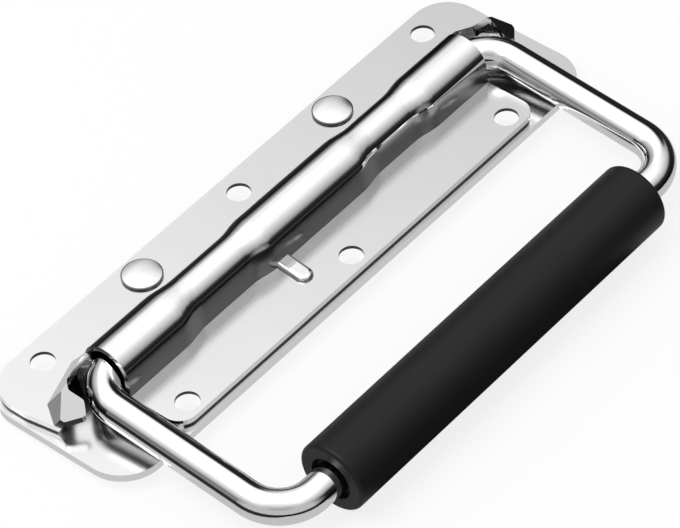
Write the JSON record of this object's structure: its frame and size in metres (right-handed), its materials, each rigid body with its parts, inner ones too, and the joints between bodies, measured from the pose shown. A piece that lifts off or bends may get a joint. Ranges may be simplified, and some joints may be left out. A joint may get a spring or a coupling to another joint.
{
  "type": "spring-loaded folding case handle",
  "caption": "Folding bail handle with a rubber grip, spring-loaded shut, hinged in a barrel pressed into a two-layer steel mounting plate.",
  "frame": {"origin": "middle of the mounting face, which is the underside of the base plate", "axes": "+X along the barrel and the pivot, +Y towards the riveted back strip, -Y towards the grip when shut, +Z away from the wall it is screwed to"},
  "size_m": [0.16, 0.0863, 0.0202],
  "materials": {
    "plate": "bright plated sheet steel",
    "rod": "bright plated round bar",
    "rivet": "bright plated",
    "spring": "drawn spring wire",
    "grip": "matt moulded rubber"
  },
  "bodies": {
    "base": {"base_plate": "plate", "top_plate": "plate", "rivet_left": "rivet", "rivet_right": "rivet", "torsion_spring": "spring"},
    "handle": {"bail": "rod", "grip": "grip"}
  },
  "joints": [
    {"name": "handle_fold", "type": "hinge", "parent": "base", "child": "handle", "pos_m": [0, 0.00035, 0.00825], "axis": [-1, 0, 0], "range_deg": [0, 98], "stiffness_Nm_per_rad": 0.45, "springref_deg": -17.19, "deforming": ["torsion_spring"]}
  ]
}
